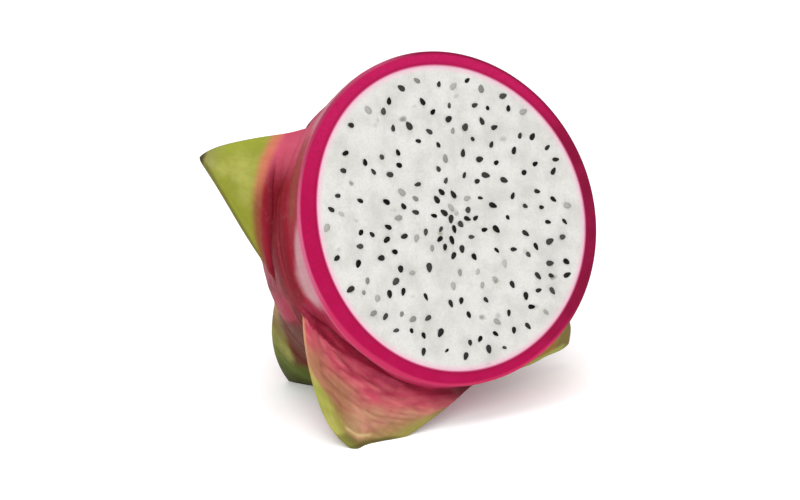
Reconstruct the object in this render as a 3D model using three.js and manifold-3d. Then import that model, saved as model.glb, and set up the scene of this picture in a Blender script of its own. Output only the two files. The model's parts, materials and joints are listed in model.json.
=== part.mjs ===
// Half of a white-fleshed dragon fruit, cut straight across and lying on its bracts.
// Millimetres, +Z up. The origin is the middle of the flat spot under the belly bract, on the surface
// that the half lies on, and the upright plane x = 0 holds the fruit's own axis.
//
// The fruit is modelled in a frame of its own: its axis is +Y, from the cut at y = 0 to the blossom end,
// x is to the right and z is up for someone who looks at the cut. An angle is measured round that axis,
// in degrees from +x towards +z. The group's position and tilt then lay the half on the surface.

import * as THREE from "three";
import { mergeVertices } from "three/addons/utils/BufferGeometryUtils.js";
import Module from "manifold-3d";

const wasm = await Module();
wasm.setup();

// ---- How the half lies ----
const TILT = 21.6; // degrees that the cut leans back, which is what the fruit's axis dips by
const CUT_HEIGHT = 51; // the cut's centre above the surface
const BELLY_REACH = 27.8; // how far the cut's centre is in front of the belly's flat spot

// ---- The skin ----
const CUT_RADIUS = 44;
const SKIN_ELLIPSE = 60; // where the skin's long ellipse would close
const HALF_LENGTH = 58; // from the cut to the rim of the blossom scar
// A lobe is a wave round the axis: how many crests, how high as a share of the radius, and turned by.
const SKIN_LOBES = [
  { count: 1, size: 0.011, turn: 90 },
  { count: 2, size: 0.007, turn: 15 },
  { count: 3, size: 0.007, turn: 105 },
];
const DEEP_LOBES = [
  { count: 2, size: 0.034, turn: 40 },
  { count: 3, size: 0.022, turn: 65 },
];
const LOBES_FULL = 16; // how far from the cut the deep lobes are fully grown
const SWELLING = { height: 1.2, behind: 9, ahead: 13, past: 4 }; // of the skin under each bract's root
const SCAR = { radius: 7, depth: 4.5, floor: 5 };

// ---- The flesh ----
const FLESH_RADIUS = 39.4;
const FLESH_DEPTH = 50;
const FLESH_FULLNESS = 2.4; // 2 would be an ellipse
const FLESH_LOBES = [
  { count: 2, size: 0.005, turn: 105 },
  { count: 3, size: 0.009, turn: -4 },
];
const FLESH_SHIFT = { x: 1, z: 0.6 }; // the skin is thickest low on the left
const GAP = 0.3; // between flesh and peel

// ---- The seeds on the cut ----
const SEED = { length: 2.3, width: 1.5, proud: 0.4, sunk: 0.6, edge: 2.4 };
const SEED_GAPS = { core: 2.4, near: 2.6, far: 5.2, coreRadius: 9 }; // between the middles of two seeds
const SEED_TRIES = 700;
const RANDOM_SEED = 20117;

// ---- The bracts ----
// angle, start: the middle of its root, round the axis and along it. halfWidth: of its root. length: of
// its midline, root included. heading: where the midline points once it has bent away from the skin,
// 0 along the axis, 90 straight out and over 90 back towards the cut. bend: between which lengths along
// the midline it turns. curl, curlFrom: a last turn of the heading, and from which share of the length.
// sides: how the outline narrows on the left and on the right, see bractOutline. tip: the share of the
// half width that is left at the end. lean, leanPower: how far the tip is turned round the axis, and how
// late. slant: how much further from the cut the root's right end is than its middle. root: how deep in
// the skin it starts, how many degrees it rises, and between which lengths that eases off.
const ROOT = { depth: 3.2, rise: 16, settle: [6, 14] };
const LONG_ROOT = { depth: 2.6, rise: 9, settle: [10, 24] };
const THICKNESS = { root: 3.8, tip: 1.7, edge: 0.9 };
const USUAL = {
  sides: [[1, 1.4, 0.8], [1, 1.4, 0.8]],
  tip: 0.06,
  lean: 4,
  leanPower: 1.5,
  slant: 0,
  curl: 0,
  curlFrom: 0.55,
  root: ROOT,
};
const BRACTS = {
  left: {
    angle: 162, start: 7, halfWidth: 24, length: 31, heading: 62, bend: [5, 16],
    sides: [[0.86, 1.4, 0.86], [1.78, 0.72, 1.42]], tip: 0.05, lean: -9.7, leanPower: 1.2, slant: 6,
  },
  front: {
    angle: 234.5, start: 4.5, halfWidth: 25.5, length: 28.5, heading: 94, bend: [0, 5],
    sides: [[1.16, 0.86, 0.68], [1.18, 0.8, 0.9]], lean: 2.5, slant: -4, curl: 50, curlFrom: 0.68,
  },
  belly: { angle: 270, start: 12, halfWidth: 15, length: 34, heading: -5, bend: [8, 24], lean: 0 },
  right_low: {
    angle: 312, start: 6, halfWidth: 20, length: 33.5, heading: 48, bend: [5, 14],
    sides: [[1.9, 0.8, 1.45], [1, 1.4, 0.8]], lean: 11,
  },
  right: {
    angle: 15, start: 7, halfWidth: 21, length: 44, heading: 16, bend: [20, 32], curl: -16, root: LONG_ROOT,
  },
  top: { angle: 66, start: 6, halfWidth: 19, length: 44, heading: -14, bend: [20, 32], root: LONG_ROOT },
  back_left: { angle: 220, start: 21, halfWidth: 19.5, length: 42, heading: 2, bend: [6, 18], lean: 24 },
  back_right: { angle: 300, start: 20, halfWidth: 17, length: 35, heading: 15, bend: [10, 20] },
  back_flank: {
    angle: 348, start: 22, halfWidth: 17, length: 42, heading: 4, bend: [18, 30], curl: -20, root: LONG_ROOT,
  },
  back_top: {
    angle: 42, start: 21, halfWidth: 17, length: 42, heading: 0, bend: [18, 30], curl: 14, root: LONG_ROOT,
  },
  back_crest: {
    angle: 98, start: 24, halfWidth: 16, length: 38, heading: -22, bend: [18, 30], lean: -6, root: LONG_ROOT,
  },
  back_rise: {
    angle: 166, start: 24, halfWidth: 13, length: 33, heading: -22, bend: [16, 28], root: LONG_ROOT,
  },
};
const CROWN = {
  count: 5, turn: 8, start: 43, halfWidth: 9.5, length: 23, heading: -8, bend: [4, 12], lean: 0,
};

// ---- How finely it is faceted ----
const SKIN_FACETS = { round: 60, along: 12 };
const FLESH_FACETS = { round: 48, along: 8 };
const BRACT_FACETS = { across: 7, along: 8 };
const SPINE_STEPS = 72;

const rad = THREE.MathUtils.degToRad;
const mix = THREE.MathUtils.lerp;
const ease = THREE.MathUtils.smoothstep;

// A repeatable stream of numbers from 0 to 1.
function randomStream(seed) {
  let state = seed;
  return () => {
    state = (state * 48271) % 2147483647;
    return state / 2147483647;
  };
}

// A closed body through rings of points, each ring in the same turning sense, with a fan at each end.
function loft(rings) {
  const count = rings[0].length;
  const ends = [rings[0], rings.at(-1)].map((ring) =>
    ring.reduce((sum, p) => sum.add(p), new THREE.Vector3()).divideScalar(count)
  );
  const points = [...rings.flat(), ...ends];
  const faces = [];
  for (let i = 0; i < count; i++) {
    const next = (i + 1) % count;
    for (let k = 0; k + 1 < rings.length; k++) {
      const [a, b] = [k * count + i, k * count + next];
      faces.push(a, b, b + count, a, b + count, a + count);
    }
    const last = (rings.length - 1) * count;
    faces.push(points.length - 2, next, i, points.length - 1, last + i, last + next);
  }
  return new THREE.BufferGeometry().setFromPoints(points).setIndex(faces);
}

function solidOf(geometry) {
  const bare = geometry.clone();
  bare.deleteAttribute("normal");
  bare.deleteAttribute("uv");
  const merged = mergeVertices(bare, 1e-4);
  const solid = new wasm.Manifold(
    new wasm.Mesh({
      numProp: 3,
      vertProperties: merged.attributes.position.array,
      triVerts: new Uint32Array(merged.index.array),
    })
  );
  if (solid.volume() <= 0) throw new Error("a body is inside out");
  return solid;
}

function geometryOf(solid) {
  const mesh = solid.getMesh();
  return new THREE.BufferGeometry()
    .setAttribute("position", new THREE.BufferAttribute(mesh.vertProperties, 3))
    .setIndex(new THREE.BufferAttribute(mesh.triVerts, 1));
}

// A point at this angle round the fruit's axis, this far from it, and this far along it.
function aroundAxis(angle, radius, y) {
  return new THREE.Vector3(radius * Math.cos(angle), y, radius * Math.sin(angle));
}

// ---- Skin ----
const skinRadius = (y) => CUT_RADIUS * Math.sqrt(1 - (y / SKIN_ELLIPSE) ** 2);
const skinSlope = (y) => Math.atan2(skinRadius(y + 0.5) - skinRadius(y - 0.5), 1);
const lobed = (lobes, angle) =>
  lobes.reduce((sum, lobe) => sum + lobe.size * Math.cos(lobe.count * (angle - rad(lobe.turn))), 0);
// The deep lobes, which flesh and skin share, on top of the lobes that each has all along.
const lobing = (angle, y, ownLobes) =>
  lobed(ownLobes, angle) + lobed(DEEP_LOBES, angle) * ease(y, 0, LOBES_FULL);

// The skin's distance from the axis: its ellipse, lobed, and swollen under the roots of the bracts.
function skinAt(angle, y) {
  const swollen = Object.values(BRACTS).map((bract) => {
    const around = Math.atan2(Math.sin(angle - rad(bract.angle)), Math.cos(angle - rad(bract.angle)));
    const across = (around * CUT_RADIUS) / bract.halfWidth;
    const gap = y - bract.start - SWELLING.past;
    return Math.exp(-(across ** 2) - (gap / (gap < 0 ? SWELLING.behind : SWELLING.ahead)) ** 2);
  });
  const bump = SWELLING.height * Math.max(...swollen) * ease(y, 0, 10) * (1 - ease(y, 40, HALF_LENGTH));
  return skinRadius(y) * (1 + lobing(angle, y, SKIN_LOBES)) + bump;
}

function ringAt(y, radiusAt, facets, shift = { x: 0, z: 0 }) {
  return Array.from({ length: facets }, (_, i) => {
    const angle = (-2 * Math.PI * i) / facets;
    return aroundAxis(angle, radiusAt(angle), y).add(new THREE.Vector3(shift.x, 0, shift.z));
  });
}

function skinBody() {
  const rings = [];
  for (let i = 0; i <= SKIN_FACETS.along; i++) {
    const y = HALF_LENGTH * Math.sin((i / SKIN_FACETS.along) * (Math.PI / 2));
    rings.push(ringAt(y, (angle) => skinAt(angle, y), SKIN_FACETS.round));
  }
  rings.push(ringAt(HALF_LENGTH - 1, () => SCAR.radius, SKIN_FACETS.round));
  rings.push(ringAt(HALF_LENGTH - SCAR.depth, () => SCAR.floor, SKIN_FACETS.round));
  return solidOf(loft(rings));
}

// The flesh, or with grow the hollow that it fills. The hollow runs out past the cut.
function fleshBody(grow) {
  const rings = [];
  const depth = FLESH_DEPTH + grow;
  if (grow > 0) rings.push(fleshRing(-5, grow, 0));
  for (let i = 0; i <= FLESH_FACETS.along; i++) {
    const along = Math.sin((i / FLESH_FACETS.along) * (Math.PI / 2) * 0.97);
    rings.push(fleshRing(depth * along, grow, along));
  }
  return solidOf(loft(rings));
}

function fleshRing(y, grow, along) {
  const radius = (FLESH_RADIUS + grow) * Math.sqrt(1 - along ** FLESH_FULLNESS);
  const shift = { x: FLESH_SHIFT.x * (1 - along), z: FLESH_SHIFT.z * (1 - along) };
  return ringAt(y, (angle) => radius * (1 + lobing(angle, y, FLESH_LOBES)), FLESH_FACETS.round, shift);
}

// ---- Bracts ----
// The midline in the plane of the axis: at each step its place along the axis, its distance from it
// and the way it heads.
function bractSpine(bract) {
  const step = bract.length / SPINE_STEPS;
  let [y, radius] = [bract.start, skinAt(rad(bract.angle), bract.start) - bract.root.depth];
  const spine = [];
  for (let i = 0; i <= SPINE_STEPS; i++) {
    const along = i * step;
    const rise = rad(bract.root.rise) * (1 - ease(along, ...bract.root.settle));
    const onSkin = skinSlope(Math.min(y, HALF_LENGTH - 2)) + rise;
    const turned = mix(onSkin, rad(bract.heading), ease(along, ...bract.bend));
    const heading = turned + rad(bract.curl) * ease(i / SPINE_STEPS, bract.curlFrom, 1);
    spine.push({ y, radius, heading });
    y += step * Math.cos(heading);
    radius += step * Math.sin(heading);
  }
  return spine;
}

// The share of the half width that is left at this share of the length, on the side of v.
function bractOutline(bract, u, v) {
  const [share, late, blunt] = bract.sides[v > 0 ? 1 : 0];
  return mix(bract.tip, share, (1 - u ** late) ** blunt);
}

function bractBody(bract) {
  const spine = bractSpine(bract);
  const rings = [];
  for (let k = 0; k <= BRACT_FACETS.along; k++) {
    const u = 1 - (1 - k / BRACT_FACETS.along) ** 1.3;
    rings.push(bractRing(bract, spine[Math.round(u * SPINE_STEPS)], u));
  }
  return solidOf(loft(rings));
}

// One closed loop across a bract: its outer face from left to right, then its inner face back.
function bractRing(bract, station, u) {
  const middle = rad(bract.angle + bract.lean * u ** bract.leanPower);
  const wrap = mix(1, 0.35, u) / station.radius;
  const side = new THREE.Vector3(-Math.sin(middle), 0, Math.cos(middle));
  const faces = [1, -1].map((face) =>
    Array.from({ length: BRACT_FACETS.across }, (_, i) => {
      const v = face * ((2 * i) / (BRACT_FACETS.across - 1) - 1);
      const turn = v * bract.halfWidth * bractOutline(bract, u, v) * wrap;
      const thick = mix(THICKNESS.root, THICKNESS.tip, u) * (1 - v * v) + THICKNESS.edge * v * v;
      const bow = (1 - Math.cos(turn)) / wrap;
      const radius = station.radius - bow + (face * thick * Math.cos(station.heading)) / 2;
      const y = station.y + bract.slant * v * (1 - u) - (face * thick * Math.sin(station.heading)) / 2;
      return aroundAxis(middle, radius, y).addScaledVector(side, Math.sin(turn) / wrap);
    })
  );
  return faces.flat().reverse();
}

function crownBracts() {
  return Array.from({ length: CROWN.count }, (_, i) => ({
    ...CROWN,
    angle: CROWN.turn + (360 * i) / CROWN.count,
  }));
}

// ---- How the fruit's frame lies in the part's frame ----
const fruit = new THREE.Group();
fruit.rotation.x = rad(-TILT);
fruit.position.set(0, -BELLY_REACH, CUT_HEIGHT);
fruit.updateMatrixWorld(true);

// What the knife took away, and what would be below the surface.
const BLOCK = 400;
const beforeCut = () => solidOf(new THREE.BoxGeometry(BLOCK, BLOCK, BLOCK).translate(0, -BLOCK / 2, 0));
const underSurface = () =>
  solidOf(
    new THREE.BoxGeometry(BLOCK, BLOCK, BLOCK)
      .translate(0, 0, -BLOCK / 2)
      .applyMatrix4(fruit.matrixWorld.clone().invert())
  );

function peelSolid() {
  const bracts = [...Object.values(BRACTS), ...crownBracts()];
  return wasm.Manifold.union([skinBody(), ...bracts.map((bract) => bractBody({ ...USUAL, ...bract }))])
    .subtract(fleshBody(GAP))
    .subtract(beforeCut())
    .subtract(underSurface());
}

// ---- Seeds ----
// Places on the cut, at random but apart and thickest in the middle, each with the way it points.
function seedPlaces() {
  const random = randomStream(RANDOM_SEED);
  const places = [];
  for (let i = 0; i < SEED_TRIES; i++) {
    const [angle, share, wobble, room] = [random() * 2 * Math.PI, random(), random() - 0.5, random()];
    const radius = (FLESH_RADIUS - SEED.edge) * share ** 0.62;
    const [x, z] = [radius * Math.cos(angle) + FLESH_SHIFT.x, radius * Math.sin(angle) + FLESH_SHIFT.z];
    const gap = radius < SEED_GAPS.coreRadius ? SEED_GAPS.core : mix(SEED_GAPS.near, SEED_GAPS.far, room);
    if (places.every((p) => Math.hypot(p.x - x, p.z - z) > gap))
      places.push({ x, z, turn: angle + 2 * wobble });
  }
  return places;
}

// A drop-shaped seed, pointed at one end, part sunk in the flesh.
function seedBody(place) {
  const drop = [
    [0.5, 0, 0],
    [0.1, 0, 0.46],
    [-0.36, 0, 0.36],
    [-0.5, 0, 0],
    [-0.36, 0, -0.36],
    [0.1, 0, -0.46],
    [0.1, -1, 0],
    [-0.25, -1, 0],
    [-0.1, 1, 0],
  ];
  const points = drop.map(([along, deep, across]) =>
    new THREE.Vector3(along * SEED.length, deep * (deep < 0 ? SEED.proud : SEED.sunk), across * SEED.width)
      .applyAxisAngle(new THREE.Vector3(0, 1, 0), -place.turn)
      .add(new THREE.Vector3(place.x, 0.05, place.z))
      .toArray()
  );
  return wasm.Manifold.hull(points);
}

function fleshSolid() {
  return wasm.Manifold.union([fleshBody(0), ...seedPlaces().map(seedBody)]);
}

function addPiece(name, solid, color, roughness) {
  const material = new THREE.MeshStandardMaterial({ color, roughness, metalness: 0 });
  const mesh = new THREE.Mesh(geometryOf(solid), material);
  mesh.name = name;
  fruit.add(mesh);
}

addPiece("peel", peelSolid(), 0xc8325f, 0.5);
addPiece("flesh", fleshSolid(), 0xe9e7e0, 0.35);

const half = new THREE.Group();
half.add(fruit);

export default half;
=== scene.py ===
"""Half a dragon fruit: the looks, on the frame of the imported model.

The fruit is made in a frame of its own, in millimetres: its axis is +Y, from the cut at y = 0 to the
blossom end, x is to the right and z is up for someone who looks at the cut. An angle is measured round
that axis, in degrees from +x towards +z. The record's cut_face mount says how that frame lies.
"""

import json
import math

import bpy
import numpy as np
from mathutils import Matrix, Vector, kdtree, noise


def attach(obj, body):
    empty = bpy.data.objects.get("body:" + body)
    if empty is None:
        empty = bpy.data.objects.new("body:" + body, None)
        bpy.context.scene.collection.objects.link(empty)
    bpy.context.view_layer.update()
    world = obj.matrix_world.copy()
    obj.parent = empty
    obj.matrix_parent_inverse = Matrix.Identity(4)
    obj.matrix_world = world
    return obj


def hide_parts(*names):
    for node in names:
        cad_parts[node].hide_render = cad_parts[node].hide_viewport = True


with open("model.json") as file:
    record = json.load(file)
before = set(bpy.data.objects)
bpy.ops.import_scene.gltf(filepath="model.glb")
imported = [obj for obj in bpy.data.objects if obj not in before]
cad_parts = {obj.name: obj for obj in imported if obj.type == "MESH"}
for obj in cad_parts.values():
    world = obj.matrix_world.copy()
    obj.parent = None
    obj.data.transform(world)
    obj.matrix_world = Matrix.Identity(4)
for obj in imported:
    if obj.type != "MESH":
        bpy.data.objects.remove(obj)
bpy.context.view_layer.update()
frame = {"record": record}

# ---- The fruit, as in the CAD ----
RING_MIDDLE = 42.2  # from the cut's centre up to the cut_face mount
CUT_RADIUS = 44.0
SKIN_ELLIPSE = 60.0
HALF_LENGTH = 58.0
SKIN_LOBES = [(1, 0.011, 90.0), (2, 0.007, 15.0), (3, 0.007, 105.0)]  # how many, how high, turned by
DEEP_LOBES = [(2, 0.034, 40.0), (3, 0.022, 65.0)]
LOBES_FULL = 16.0
SWELL_HEIGHT, SWELL_BEHIND, SWELL_AHEAD, SWELL_PAST = 1.2, 9.0, 13.0, 4.0
SCAR_RADIUS, SCAR_DEPTH, SCAR_FLOOR = 7.0, 4.5, 5.0
SCAR_SIDE = 45  # points that are nearer the cut than this are never on the scar
FLESH_RADIUS, FLESH_DEPTH, FLESH_FULLNESS = 39.4, 50.0, 2.4
FLESH_LOBES = [(2, 0.005, 105.0), (3, 0.009, -4.0)]
FLESH_SHIFT = (1.0, 0.6)
GAP = 0.3

SEED_LENGTH, SEED_WIDTH, SEED_EDGE = 2.3, 1.5, 2.4
SEED_CORE, SEED_NEAR, SEED_FAR, SEED_CORE_RADIUS = 2.4, 2.6, 5.2, 9.0
SEED_TRIES = 700
SEEDS_VEILED = 0.16  # the share that lies just under the cut
SEED_ROWS, SEED_ROUND = 9, 14
SEED_FLAT, SEED_TAPER = 0.42, 0.28  # half its thickness in mm, and how much slimmer its pointed end is
RANDOM_SEED, RANDOM_STEP, RANDOM_RANGE = 20117, 48271, 2147483647

MM = 0.001
CUP_ROUND, HOLLOW_ROUND = 320, 96  # points in a ring of the cup and of the tool that clears its hollow
CUP_CLOSE = 19.0  # the cup's rings are evenly close from the cut up to here
KNIFE = 0.2  # how far behind the cut the bracts' roots end
FAR = 300  # past every side of the fruit
FLOOR_SIDE, FLOOR_THICK = 4000, 20
SHARP = math.radians(50)  # edges that are sharper than this keep their crease

ROOT = (3.2, 16.0, (6, 14))  # how deep it starts, how steeply it comes out, where that eases off
LONG_ROOT = (2.6, 9.0, (10, 24))
THICK_ROOT, THICK_TIP, THICK_EDGE = 3.8, 1.7, 0.9
SIDES = ((1, 1.4, 0.8), (1, 1.4, 0.8))
SPINE_STEPS = 72


def bract(angle, start, half_width, length, heading, bend, **more):
    """A bract's measures, as in the CAD, with how it looks in more: green is the share of its length
    where the green starts, and margin the width of its green edge in mm."""
    place = dict(angle=angle, start=start, half_width=half_width, length=length, heading=heading, bend=bend)
    shape = dict(sides=SIDES, tip=0.06, lean=4.0, lean_power=1.5, slant=0.0, curl=0.0, curl_from=0.55)
    looks = dict(root=ROOT, across=34, along=40, wrinkle=0.12, wave=0.35, green=0.62, margin=2.0)
    return {**place, **shape, **looks, **more}


BRACTS = {
    "left": bract(
        162, 7, 24, 31, 62, (5, 16), sides=((0.86, 1.4, 0.86), (1.78, 0.72, 1.42)), tip=0.05,
        lean=-9.7, lean_power=1.2, slant=6, green=0.5, margin=1.0, across=70, along=72, wave=0.0,
    ),
    "front": bract(
        234.5, 4.5, 25.5, 28.5, 94, (0, 5), sides=((1.16, 0.86, 0.68), (1.18, 0.8, 0.9)), lean=2.5, slant=-4,
        curl=50, curl_from=0.68, green=0.86, margin=5.0, across=96, along=84, wrinkle=0.08, wave=0.0,
    ),
    "belly": bract(270, 12, 15, 34, -5, (8, 24), lean=0),
    "right_low": bract(
        312, 6, 20, 33.5, 48, (5, 14), sides=((1.9, 0.8, 1.45), (1, 1.4, 0.8)), lean=11,
        green=0.5, margin=3.0, across=50, along=54,
    ),
    "right": bract(15, 7, 21, 44, 16, (20, 32), curl=-16, root=LONG_ROOT),
    "top": bract(66, 6, 19, 44, -14, (20, 32), root=LONG_ROOT),
    "back_left": bract(220, 21, 19.5, 42, 2, (6, 18), lean=24, across=56, along=72, wave=0.0),
    "back_right": bract(300, 20, 17, 35, 15, (10, 20)),
    "back_flank": bract(348, 22, 17, 42, 4, (18, 30), curl=-20, root=LONG_ROOT),
    "back_top": bract(42, 21, 17, 42, 0, (18, 30), curl=14, root=LONG_ROOT),
    "back_crest": bract(98, 24, 16, 38, -22, (18, 30), lean=-6, root=LONG_ROOT),
    "back_rise": bract(166, 24, 13, 33, -22, (16, 28), wave=0.0, root=LONG_ROOT),
}
for place in range(5):
    BRACTS[f"crown_{place}"] = bract(8 + 72 * place, 43, 9.5, 23, -8, (4, 12), lean=0, across=24, along=30)


def ease(value, low, high):
    share = np.clip((value - low) / (high - low), 0.0, 1.0)
    return share * share * (3 - 2 * share)


def fall(value, low, high):
    return 1 - ease(value, low, high)


def span(value, start, full, last, end):
    """From 0 at start up to 1 at full, and from 1 at last down to 0 at end."""
    return ease(value, start, full) * fall(value, last, end)


def table(value, pairs):
    """Read off between the pairs of a table."""
    return np.interp(value, *zip(*pairs))


def mix(a, b, share):
    return a + (b - a) * share


def rough(points, size, seed=0.0):
    """Smooth noise from -1 to 1 at each point, with features about this many mm across."""
    spots = np.asarray(points, float) / size + seed
    return np.array([noise.noise(Vector(spot)) for spot in spots.reshape(-1, 3)]).reshape(spots.shape[:-1])


# ---- Skin ----
def skin_radius(y):
    return CUT_RADIUS * np.sqrt(1 - (np.minimum(y, HALF_LENGTH + 1) / SKIN_ELLIPSE) ** 2)


def lobed(lobes, angle):
    return sum(size * np.cos(count * (angle - math.radians(turn))) for count, size, turn in lobes)


def lobing(angle, y, own_lobes):
    """The deep lobes, which flesh and skin share, on top of the lobes that each has all along."""
    return lobed(own_lobes, angle) + lobed(DEEP_LOBES, angle) * ease(y, 0, LOBES_FULL)


def skin_at(angle, y):
    """The skin's distance from the axis: its ellipse, lobed, and swollen under the roots of the bracts."""
    swollen = 0.0
    for name, one in BRACTS.items():
        if name.startswith("crown"):
            continue
        off = angle - math.radians(one["angle"])
        across = np.arctan2(np.sin(off), np.cos(off)) * CUT_RADIUS / one["half_width"]
        gap = y - one["start"] - SWELL_PAST
        reach = np.where(gap < 0, SWELL_BEHIND, SWELL_AHEAD)
        swollen = np.maximum(swollen, np.exp(-(across**2) - (gap / reach) ** 2))
    bump = SWELL_HEIGHT * swollen * ease(y, 0, 10) * fall(y, 40, HALF_LENGTH)
    return skin_radius(y) * (1 + lobing(angle, y, SKIN_LOBES)) + bump


def flesh_radius(angle, y, grow=0.0):
    """The flesh's distance from its middle, this much larger all round."""
    along = np.clip(y / (FLESH_DEPTH + grow), 0, 1)
    plain = (FLESH_RADIUS + grow) * np.sqrt(1 - along**FLESH_FULLNESS)
    return plain * (1 + lobing(angle, y, FLESH_LOBES))


def rim_radius(angle):
    """The edge of the flesh on the cut, seen from the flesh's middle."""
    return flesh_radius(angle, 0 * angle, GAP)


def past_rim(points):
    """How far points lie outside the edge of the flesh."""
    x, z = points[:, 0] - FLESH_SHIFT[0], points[:, 2] - FLESH_SHIFT[1]
    return np.hypot(x, z) - rim_radius(np.arctan2(z, x))


def flesh_shift(along):
    """How far the flesh's middle lies off the axis, at this share of its depth."""
    return [part * (1 - along) for part in FLESH_SHIFT]


def around_axis(angle, radius, y, shift=(0.0, 0.0)):
    x, z = radius * np.cos(angle) + shift[0], radius * np.sin(angle) + shift[1]
    return np.stack([x, y + 0 * angle, z], -1)


def lathe(rings):
    """Points and faces of the closed body through rings of equally many points, with a fan at each end."""
    count = len(rings[0])
    points = np.concatenate([np.concatenate(rings), [rings[0].mean(0), rings[-1].mean(0)]])
    here = np.arange(count)
    after = (here + 1) % count
    faces = []
    for k in range(len(rings) - 1):
        a, b = k * count + here, k * count + after
        faces += np.stack([a, b, b + count, a + count], -1).tolist()
    last = (len(rings) - 1) * count
    faces += np.stack([here * 0 + len(points) - 2, after, here], -1).tolist()
    faces += np.stack([here * 0 + len(points) - 1, last + here, last + after], -1).tolist()
    return points, faces


def turns_of(count):
    """Angles once round the axis, in the order that turns the faces outwards."""
    return -np.linspace(0, 2 * np.pi, count, endpoint=False)


def cup_rings(count=CUP_ROUND):
    """The peel's cup without its bracts: from the bottom of its hollow, over the cut, to the blossom scar."""
    angle = turns_of(count)
    rings = []
    for along in np.sin(np.linspace(0.97, 0.0, 12) * np.pi / 2):
        depth = (FLESH_DEPTH + GAP) * along
        radius = flesh_radius(angle, depth, GAP)
        rings.append(around_axis(angle, radius, depth, flesh_shift(along)))
    inner, outer = rings.pop(), around_axis(angle, skin_at(angle, 0 * angle), 0)
    for share in np.linspace(0.0, 1.0, 9)[:-1]:
        rings.append(mix(inner, outer, share * 0.995))
    rings.append(outer * [0.9965, 1, 0.9965])
    behind = CUP_CLOSE + (HALF_LENGTH - CUP_CLOSE) * np.sin(np.linspace(0.0, 1.0, 42) * np.pi / 2)
    for y in np.concatenate([[0.18], np.arange(0.5, CUP_CLOSE, 0.42), behind]):
        depth = np.full(count, y)
        rings.append(around_axis(angle, skin_at(angle, depth), depth))
    for share in np.linspace(0.15, 1.0, 9):
        y = HALF_LENGTH + 0.35 * math.sin(share * math.pi) - 1.0 * share
        radius = mix(skin_at(angle, HALF_LENGTH + 0 * angle), SCAR_RADIUS, share)
        rings.append(around_axis(angle, radius, y))
    for share in np.linspace(0.12, 1.0, 9):
        y = HALF_LENGTH - 1 - (SCAR_DEPTH - 1) * math.sin(share * math.pi / 2)
        radius = mix(SCAR_RADIUS, SCAR_FLOOR, share**2)
        rings.append(around_axis(angle, radius, y))
    for share in (0.75, 0.5, 0.25):
        y = HALF_LENGTH - SCAR_DEPTH + 0.5 * (1 - share)
        rings.append(around_axis(angle, SCAR_FLOOR * share, y))
    return rings


# ---- Bracts ----
def spine_of(one):
    """The midline: its distance along the axis, its distance from it, and the way it heads, at each step."""
    step = one["length"] / SPINE_STEPS
    y = one["start"]
    depth, rise, settle = one["root"]
    radius = float(skin_at(np.float64(math.radians(one["angle"])), np.float64(y))) - depth
    stations = []
    for i in range(SPINE_STEPS + 1):
        along = i * step
        low = min(y, HALF_LENGTH - 2)
        slope = math.atan2(skin_radius(low + 0.5) - skin_radius(low - 0.5), 1)
        on_skin = slope + math.radians(rise) * fall(along, *settle)
        heading = mix(on_skin, math.radians(one["heading"]), ease(along, *one["bend"]))
        heading += math.radians(one["curl"]) * ease(i / SPINE_STEPS, one["curl_from"], 1)
        stations.append((y, radius, heading))
        y += step * math.cos(heading)
        radius += step * math.sin(heading)
    return np.array(stations)


def outline_of(one, u, v):
    """The share of the half width that is left at u, on the side of v."""
    left, right = [mix(one["tip"], share, (1 - u**late) ** blunt) for share, late, blunt in one["sides"]]
    return np.where(v > 0, right, left) * np.sqrt(1 - u**26)


def bract_rings(one):
    """Rings of points, and for each point its length along the midline, its share across, its distance
    from the margin and whether it is on the outer face."""
    spine = spine_of(one)
    share = np.linspace(0, 1, one["along"] + 1)
    rows = 1 - (1 - share) ** 1.12
    rows[-1] = 0.9995
    across = np.sin(np.linspace(-1, 1, one["across"] + 1) * np.pi / 2 * 0.98) / math.sin(np.pi / 2 * 0.98)
    v = np.concatenate([across, across[-2:0:-1]])
    face = np.concatenate([np.ones(len(across)), -np.ones(len(across) - 2)])
    u = rows[:, None] + 0 * v
    v = v + 0 * u
    face = face + 0 * u
    steps = np.arange(SPINE_STEPS + 1)
    y, radius, heading = (np.interp(u * SPINE_STEPS, steps, spine[:, i]) for i in range(3))
    middle = np.radians(one["angle"] + one["lean"] * u ** one["lean_power"])
    width = one["half_width"] * outline_of(one, u, v)
    wrap = mix(1, 0.35, u) / radius
    thick = mix(THICK_ROOT, THICK_TIP, u) * (1 - v * v) + THICK_EDGE * v * v
    thick = thick * np.sqrt(1 - np.abs(v) ** 14) * np.sqrt(1 - u**40)
    grain = np.stack([u * one["length"], v * width, np.full(u.shape, one["angle"])], -1)
    lift = relief_of(one, grain, u, v) * (face > 0)
    lift += one["wave"] * v * v * np.sin(grain[..., 0] * 0.55 + one["angle"]) * ease(u, 0.4, 0.9)
    off = face * thick / 2 + lift
    bow = (1 - np.cos(v * width * wrap)) / wrap
    reach = radius - bow + off * np.cos(heading)
    depth = y + one["slant"] * v * (1 - u) - off * np.sin(heading)
    side = np.sin(v * width * wrap) / wrap
    x = reach * np.cos(middle) - side * np.sin(middle)
    z = reach * np.sin(middle) + side * np.cos(middle)
    facts = np.stack([grain[..., 0], v, (1 - np.abs(v)) * width, face, u], -1)
    return np.stack([x, depth, z], -1)[:, ::-1], facts[:, ::-1]


def relief_of(one, grain, u, v):
    """How far the wrinkles of the outer face stand proud, in mm."""
    along, across = grain[..., 0], grain[..., 1]
    drift = rough(np.stack([along * 0.3, across, grain[..., 2]], -1), 9.0)
    folds = rough(np.stack([along + 1.4 * drift, across * 0.16, grain[..., 2]], -1), 1.7)
    fine = rough(np.stack([along + 1.0 * drift, across * 0.22, grain[..., 2] + 7], -1), 0.9)
    room = ease(1 - np.abs(v), 0.02, 0.3) * ease(1 - u, 0.03, 0.3)
    return one["wrinkle"] * room * (folds + 0.4 * fine)


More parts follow.
